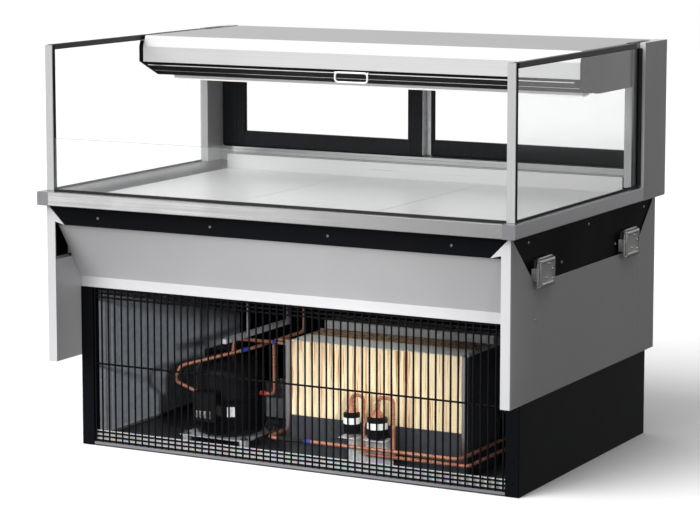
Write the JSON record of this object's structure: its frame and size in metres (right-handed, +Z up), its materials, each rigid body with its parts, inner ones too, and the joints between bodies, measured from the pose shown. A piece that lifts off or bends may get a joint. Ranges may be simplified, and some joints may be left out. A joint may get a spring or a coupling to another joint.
{
  "type": "glass door merchandiser",
  "caption": "Self-contained refrigerated merchandiser: open front over low glass, fixed side glass, sliding rear glass doors, canopy with pull-down night curtain, wire-grilled machine base.",
  "frame": {"origin": "on the floor, under the middle of the cabinet's plan", "axes": "+Z up, +X to the right as the customer sees it (longest side), +Y from the customer's side to the operator's side (shortest side)"},
  "size_m": [1.334, 0.954, 1.05],
  "materials": {
    "brushed_stainless": "satin",
    "grey_paint": "satin",
    "black_paint": "satin",
    "bright_trim": "satin",
    "galvanised": "satin",
    "clear_glass": "polished",
    "rubber": "matte",
    "foam": "matte",
    "copper": "polished",
    "gold_fins": "satin",
    "bare_aluminium": "satin",
    "black_plastic": "matte",
    "white_plastic": "gloss",
    "curtain_cloth": "matte",
    "zinc_steel": "satin",
    "black_enamel": "gloss"
  },
  "bodies": {
    "root": {"air_grilles": "brushed_stainless", "base_floor_pan": "galvanised", "base_rear_panel": "black_paint", "base_side_panels": "black_paint", "cabinet_screws": "zinc_steel", "canopy_end_caps": "black_paint", "canopy_top_panel": "brushed_stainless", "canopy_underside": "bright_trim", "column_channels": "bright_trim", "compressor": "black_enamel", "compressor_mounts": "galvanised", "condensate_tray": "galvanised", "condenser_coil": "gold_fins", "condenser_fan_motor": "black_paint", "condenser_shroud": "black_paint", "control_panel": "black_plastic", "curtain_cassette": "black_paint", "deck_pans": "brushed_stainless", "door_sill": "black_paint", "door_track_upper": "black_paint", "electrical_boxes": "black_plastic", "evaporator_coil": "bare_aluminium", "evaporator_fan_deck": "galvanised", "filter_driers": "black_paint", "front_glass": "clear_glass", "front_grille": "black_paint", "front_post_trims": "bright_trim", "front_posts": "black_paint", "front_slanted_panel": "grey_paint", "glass_gaskets": "rubber", "grille_corner_posts": "black_paint", "lamp_lens": "white_plastic", "latch_housings": "zinc_steel", "rail_frame": "brushed_stainless", "rail_front": "brushed_stainless", "rear_columns": "grey_paint", "refrigerant_lines": "copper", "side_glasses": "clear_glass", "side_panels": "grey_paint", "side_panels_rear": "grey_paint", "side_top_rails": "black_plastic", "tank_insulation": "foam", "tank_liner": "brushed_stainless", "tank_shell": "black_paint"},
    "rear_door_left": {"rear_door_left_frame": "black_paint", "rear_door_left_glass": "clear_glass"},
    "rear_door_right": {"rear_door_right_frame": "black_paint", "rear_door_right_glass": "clear_glass"},
    "curtain_bar": {"curtain_pull_bar": "bare_aluminium", "curtain_handle": "white_plastic"},
    "curtain_tube": {"curtain_roller": "bare_aluminium", "night_curtain": "curtain_cloth"},
    "condenser_fan": {"condenser_fan_blade": "black_plastic"},
    "evaporator_fan_left": {"evaporator_fan_rotor_left": "black_plastic"},
    "evaporator_fan_right": {"evaporator_fan_rotor_right": "black_plastic"},
    "switch_rocker": {"power_switch": "black_plastic"},
    "latch_left_front": {"latch_lever_left_front": "zinc_steel"},
    "latch_left_rear": {"latch_lever_left_rear": "zinc_steel"},
    "latch_right_front": {"latch_lever_right_front": "zinc_steel"},
    "latch_right_rear": {"latch_lever_right_rear": "zinc_steel"}
  },
  "joints": [
    {"name": "rear_door_left_slide", "type": "slide", "parent": "root", "child": "rear_door_left", "axis": [1, 0, 0], "range_m": [0, 0.575]},
    {"name": "rear_door_right_slide", "type": "slide", "parent": "root", "child": "rear_door_right", "axis": [-1, 0, 0], "range_m": [0, 0.575]},
    {"name": "curtain_pull", "type": "slide", "parent": "root", "child": "curtain_bar", "axis": [0, -0.9466, -0.3224], "range_m": [0, 0.425], "stiffness_N_per_m": 18, "springref_m": -0.45},
    {"name": "curtain_roller_turn", "type": "hinge", "parent": "root", "child": "curtain_tube", "pos_m": [0, 0.025, 0.994], "axis": [1, 0, 0], "range_deg": [0, 1450]},
    {"name": "condenser_fan_spin", "type": "hinge", "parent": "root", "child": "condenser_fan", "pos_m": [0.167, 0.02, 0.215], "axis": [0, 1, 0], "continuous": true},
    {"name": "evaporator_fan_left_spin", "type": "hinge", "parent": "root", "child": "evaporator_fan_left", "pos_m": [-0.26, 0.03, 0.55], "axis": [0, 1, 0], "continuous": true},
    {"name": "evaporator_fan_right_spin", "type": "hinge", "parent": "root", "child": "evaporator_fan_right", "pos_m": [0.26, 0.03, 0.55], "axis": [0, 1, 0], "continuous": true},
    {"name": "power_switch_rock", "type": "hinge", "parent": "root", "child": "switch_rocker", "pos_m": [0.528, 0.461, 0.568], "axis": [1, 0, 0], "range_deg": [-6, 6]},
    {"name": "latch_left_front_swing", "type": "hinge", "parent": "root", "child": "latch_left_front", "pos_m": [-0.659, -0.327, 0.54], "axis": [0, 0, -1], "range_deg": [0, 110]},
    {"name": "latch_left_rear_swing", "type": "hinge", "parent": "root", "child": "latch_left_rear", "pos_m": [-0.659, 0.217, 0.54], "axis": [0, 0, -1], "range_deg": [0, 110]},
    {"name": "latch_right_front_swing", "type": "hinge", "parent": "root", "child": "latch_right_front", "pos_m": [0.659, -0.327, 0.54], "axis": [0, 0, 1], "range_deg": [0, 110]},
    {"name": "latch_right_rear_swing", "type": "hinge", "parent": "root", "child": "latch_right_rear", "pos_m": [0.659, 0.217, 0.54], "axis": [0, 0, 1], "range_deg": [0, 110]}
  ],
  "couplings": [
    {"joint": "curtain_roller_turn", "follows": "curtain_pull", "rad_per_m": 58.824}
  ]
}
